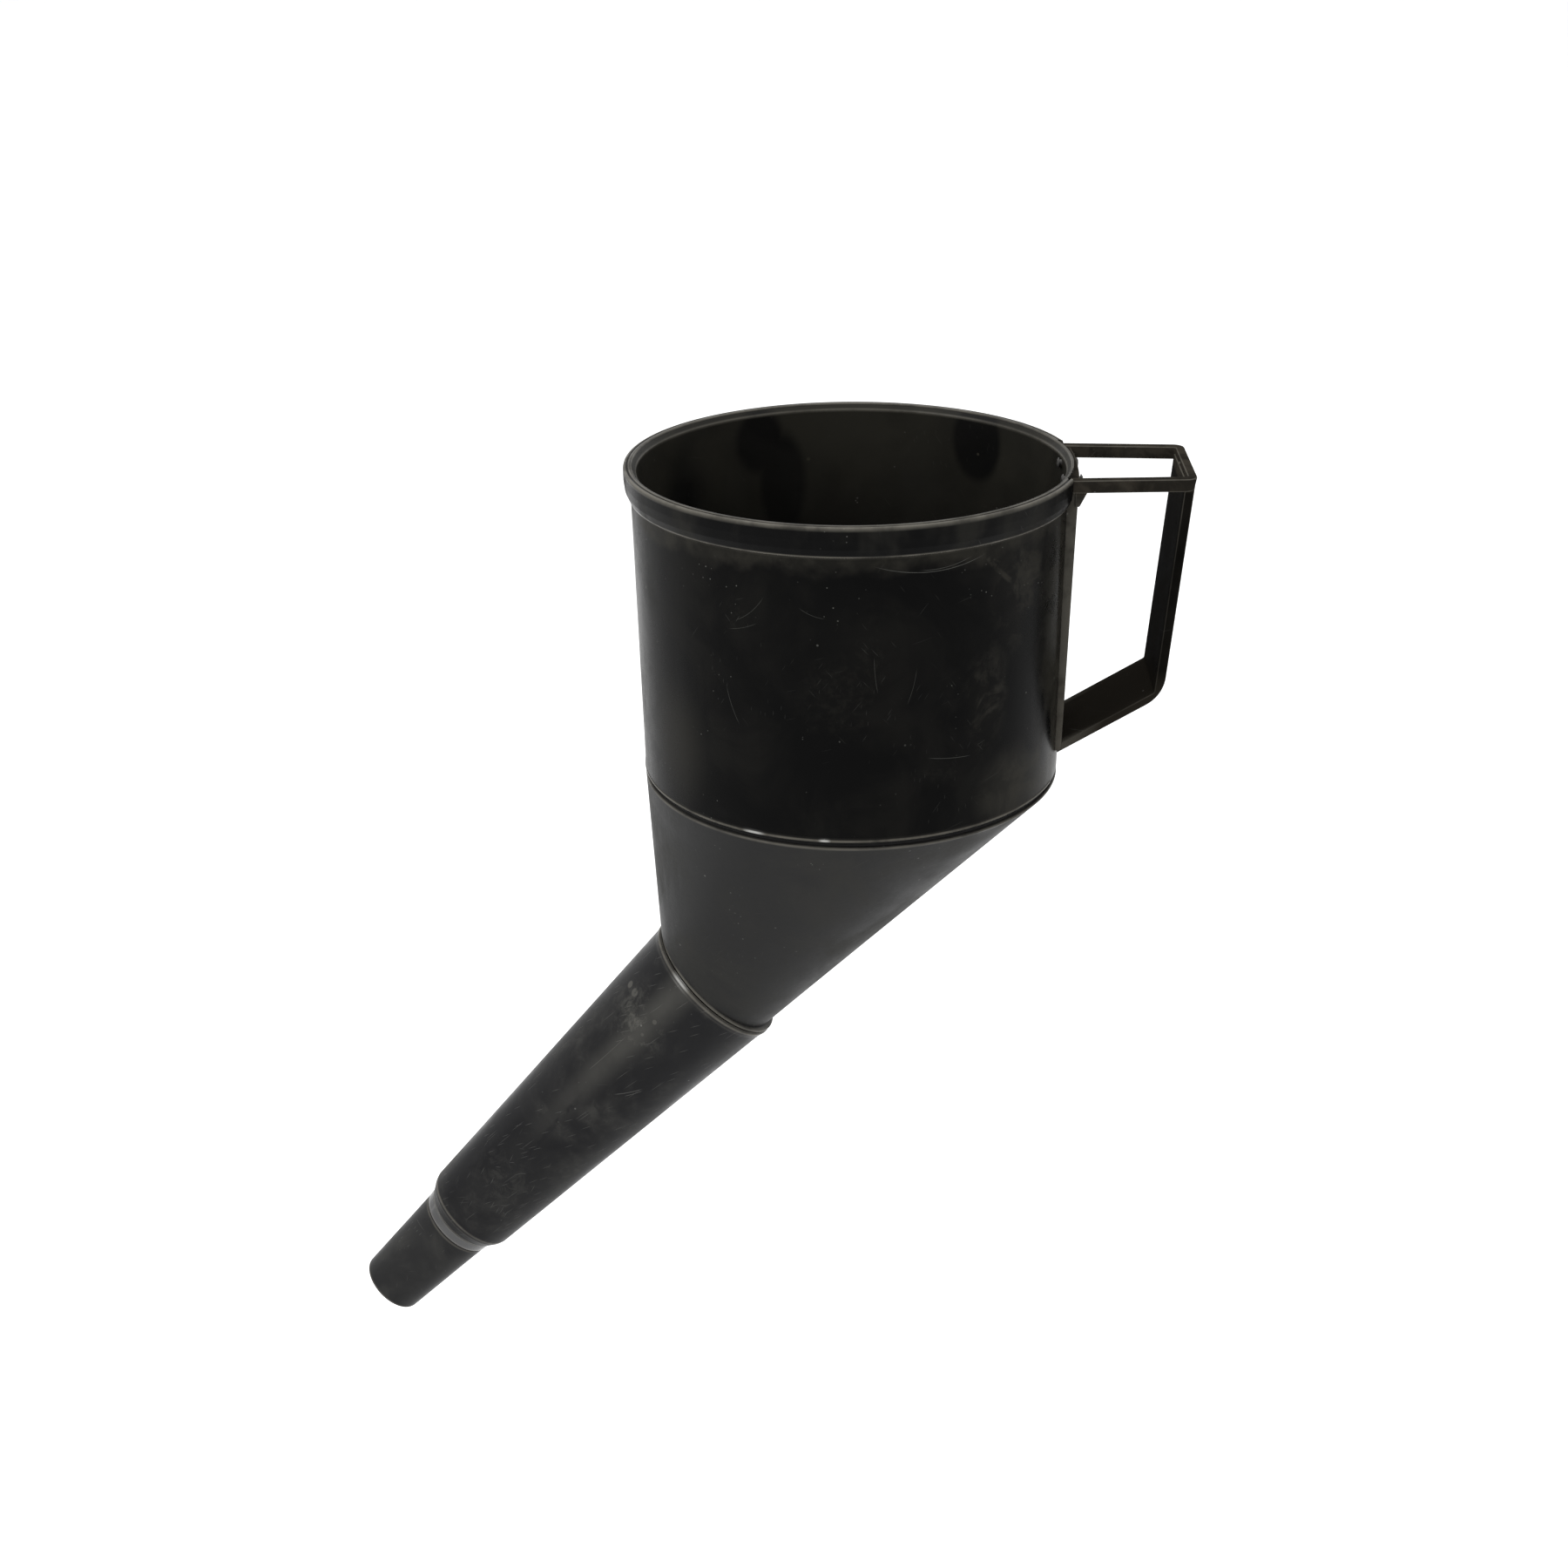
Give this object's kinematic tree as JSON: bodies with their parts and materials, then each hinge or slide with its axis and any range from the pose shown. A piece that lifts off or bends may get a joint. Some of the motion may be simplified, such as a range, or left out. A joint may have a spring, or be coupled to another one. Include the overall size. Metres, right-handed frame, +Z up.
{
  "type": "fuel funnel",
  "caption": "Round fuel funnel with an oblique cone, an offset tapered spout with nozzle, a flat strap handle and a lift-out strainer.",
  "frame": {"origin": "middle of the handle's grip strap, where a hand holds the funnel", "axes": "+Z up along the bowl's axis, +X from the bowl out through the handle, spout leaning towards -X, +Y to the left when the handle is at the front"},
  "size_m": [0.3184, 0.16, 0.3619],
  "materials": {
    "bowl_black": "black moulded plastic, smeared and slightly shiny",
    "cone_grey": "dark grey moulded plastic, satin",
    "handle_black": "black moulded plastic with dusty edges",
    "spout_grey": "dark grey moulded plastic, scuffed",
    "nozzle_grey": "dark grey moulded plastic, scuffed",
    "collar_gloss": "polished dark plastic",
    "seal_rubber": "black rubber",
    "strainer_brass": "dull brass",
    "gauze_brass": "fine woven brass wire",
    "rivet_steel": "plain steel"
  },
  "bodies": {
    "funnel": {"bowl": "bowl_black", "cone": "cone_grey", "seam_seal": "seal_rubber", "handle": "handle_black", "rivet_near": "rivet_steel", "rivet_far": "rivet_steel", "neck_seal": "seal_rubber"},
    "strainer": {"strainer_frame": "strainer_brass", "strainer_gauze": "gauze_brass", "strainer_clamp_ring": "strainer_brass", "strainer_pull_loop": "rivet_steel"},
    "spout": {"spout_tube": "spout_grey"},
    "nozzle": {"nozzle": "nozzle_grey", "nozzle_collar": "collar_gloss", "nozzle_seal": "seal_rubber"}
  },
  "joints": [
    {"name": "strainer_lift", "type": "slide", "parent": "funnel", "child": "strainer", "axis": [0, 0, 1], "range_m": [0, 0.125]},
    {"name": "spout_pull", "type": "slide", "parent": "funnel", "child": "spout", "axis": [-0.6863, 0, -0.7273], "range_m": [0, 0.06]},
    {"name": "nozzle_pull", "type": "slide", "parent": "spout", "child": "nozzle", "axis": [-0.6863, 0, -0.7273], "range_m": [0, 0.04]}
  ]
}
